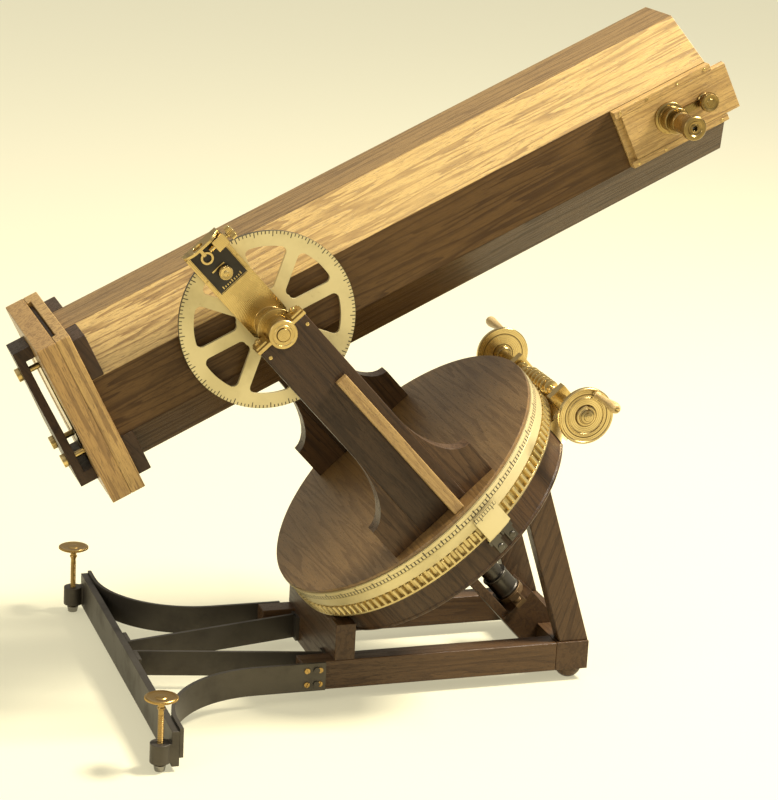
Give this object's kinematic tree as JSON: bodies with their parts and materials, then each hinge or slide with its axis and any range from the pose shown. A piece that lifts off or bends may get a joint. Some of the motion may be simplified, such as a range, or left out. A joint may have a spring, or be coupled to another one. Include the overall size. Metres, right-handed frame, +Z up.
{
  "type": "reflecting telescope",
  "caption": "Reflecting telescope with an octagonal wooden tube on an equatorial wooden fork, with hour disc, worm drive, graduated circles and a low levelling frame.",
  "frame": {"origin": "on the table, under the middle of the telescope's whole width along X and Y", "axes": "+Z up, +X horizontally the way the tube's open mouth points, -Y towards the eyepiece side"},
  "size_m": [0.5846, 0.364, 0.5567],
  "materials": {
    "honey_wood": "satin",
    "dark_wood": "satin",
    "red_wood": "satin",
    "brass": "polished",
    "pale_brass": "satin",
    "iron": "satin",
    "steel": "satin",
    "speculum": "polished",
    "glass": "polished"
  },
  "bodies": {
    "stand": {"side_rails": "dark_wood", "cross_beams": "dark_wood", "struts": "dark_wood", "crossbar": "iron", "iron_bands": "iron", "bed_drum": "dark_wood", "polar_bush": "brass", "hour_vernier": "pale_brass", "worm_bracket": "brass", "lower_bearing": "brass", "polar_block": "dark_wood"},
    "fork": {"hour_disc": "red_wood", "hour_circle": "pale_brass", "worm_wheel": "brass", "polar_shaft": "steel", "near_arm": "dark_wood", "far_arm": "dark_wood", "near_wings": "dark_wood", "far_wings": "dark_wood", "fork_ribs": "red_wood", "trunnion_bushes": "brass", "bearing_caps": "brass", "cap_screws": "brass", "alidade": "brass", "vernier_plate": "pale_brass"},
    "telescope": {"top_stave": "honey_wood", "front_stave": "honey_wood", "bottom_stave": "honey_wood", "back_stave": "honey_wood", "upper_staves": "honey_wood", "lower_staves": "honey_wood", "corner_blocks": "dark_wood", "box_front_board": "honey_wood", "box_back_board": "honey_wood", "primary_mirror": "speculum", "mirror_cell": "brass", "mirror_bridge": "dark_wood", "collimation_screws": "brass", "slide_bed": "honey_wood", "focus_rack": "brass", "dec_circle": "pale_brass", "trunnions": "brass"},
    "dust_slide": {"dust_slide": "dark_wood"},
    "focus_slide": {"eyepiece_board": "honey_wood", "eyepiece_socket": "brass", "prism": "glass", "prism_arm": "brass"},
    "focus_knob": {"focus_knob": "brass"},
    "eyepiece": {"eyepiece_barrel": "brass", "eyepiece_lenses": "glass"},
    "clamp_screw": {"clamp_screw": "brass"},
    "tangent_screw": {"tangent_screw": "brass"},
    "worm": {"worm": "brass", "crank_discs": "brass"},
    "near_handle": {"near_handle": "honey_wood"},
    "far_handle": {"far_handle": "honey_wood"},
    "near_tip": {"near_tip": "steel"},
    "near_level_screw": {"near_level_screw": "brass"},
    "far_tip": {"far_tip": "steel"},
    "far_level_screw": {"far_level_screw": "brass"}
  },
  "joints": [
    {"name": "hour_turn", "type": "hinge", "parent": "stand", "child": "fork", "pos_m": [0.03559, 0, 0.17312], "axis": [-0.6756, 0, 0.7373], "range_deg": [-60, 60]},
    {"name": "declination_turn", "type": "hinge", "parent": "fork", "child": "telescope", "pos_m": [-0.10358, 0, 0.325], "axis": [0, -1, 0], "range_deg": [-10, 106]},
    {"name": "dust_slide_lift", "type": "slide", "parent": "telescope", "child": "dust_slide", "axis": [-0.4462, 0, 0.8949], "range_m": [0, 0.12]},
    {"name": "focus_travel", "type": "slide", "parent": "telescope", "child": "focus_slide", "axis": [0.8949, 0, 0.4462], "range_m": [-0.015, 0.005]},
    {"name": "focus_turn", "type": "hinge", "parent": "focus_slide", "child": "focus_knob", "pos_m": [0.2517, -0.08, 0.49543], "axis": [0, 1, 0], "range_deg": [-180, 60]},
    {"name": "eyepiece_draw", "type": "slide", "parent": "focus_slide", "child": "eyepiece", "axis": [0, -1, 0], "range_m": [-0.004, 0.004]},
    {"name": "clamp_turn", "type": "hinge", "parent": "fork", "child": "clamp_screw", "pos_m": [-0.14141, -0.08, 0.36629], "axis": [0, 1, 0], "range_deg": [0, 180]},
    {"name": "tangent_turn", "type": "hinge", "parent": "fork", "child": "tangent_screw", "pos_m": [-0.15628, -0.081, 0.38251], "axis": [0.7373, 0, 0.6756], "range_deg": [-360, 360]},
    {"name": "worm_turn", "type": "hinge", "parent": "stand", "child": "worm", "pos_m": [0.15416, 0, 0.24651], "axis": [0, 1, 0], "range_deg": [-7200, 7200]},
    {"name": "near_handle_spin", "type": "hinge", "parent": "worm", "child": "near_handle", "pos_m": [0.16204, -0.107, 0.2638], "axis": [0, 1, 0], "continuous": true},
    {"name": "far_handle_spin", "type": "hinge", "parent": "worm", "child": "far_handle", "pos_m": [0.15664, 0.086, 0.26534], "axis": [0, 1, 0], "continuous": true},
    {"name": "near_tip_travel", "type": "slide", "parent": "stand", "child": "near_tip", "axis": [0, 0, 1], "range_m": [-0.003, 0.0015]},
    {"name": "near_screw_turn", "type": "hinge", "parent": "near_tip", "child": "near_level_screw", "pos_m": [-0.20458, -0.169, 0.05], "axis": [0, 0, 1], "range_deg": [-1080, 540]},
    {"name": "far_tip_travel", "type": "slide", "parent": "stand", "child": "far_tip", "axis": [0, 0, 1], "range_m": [-0.003, 0.0015]},
    {"name": "far_screw_turn", "type": "hinge", "parent": "far_tip", "child": "far_level_screw", "pos_m": [-0.20458, 0.169, 0.05], "axis": [0, 0, 1], "range_deg": [-1080, 540]}
  ],
  "couplings": [
    {"joint": "worm_turn", "follows": "hour_turn", "ratio": -120},
    {"joint": "focus_turn", "follows": "focus_travel", "rad_per_m": 208.33},
    {"joint": "near_screw_turn", "follows": "near_tip_travel", "rad_per_m": 6283.2},
    {"joint": "far_screw_turn", "follows": "far_tip_travel", "rad_per_m": 6283.2}
  ]
}
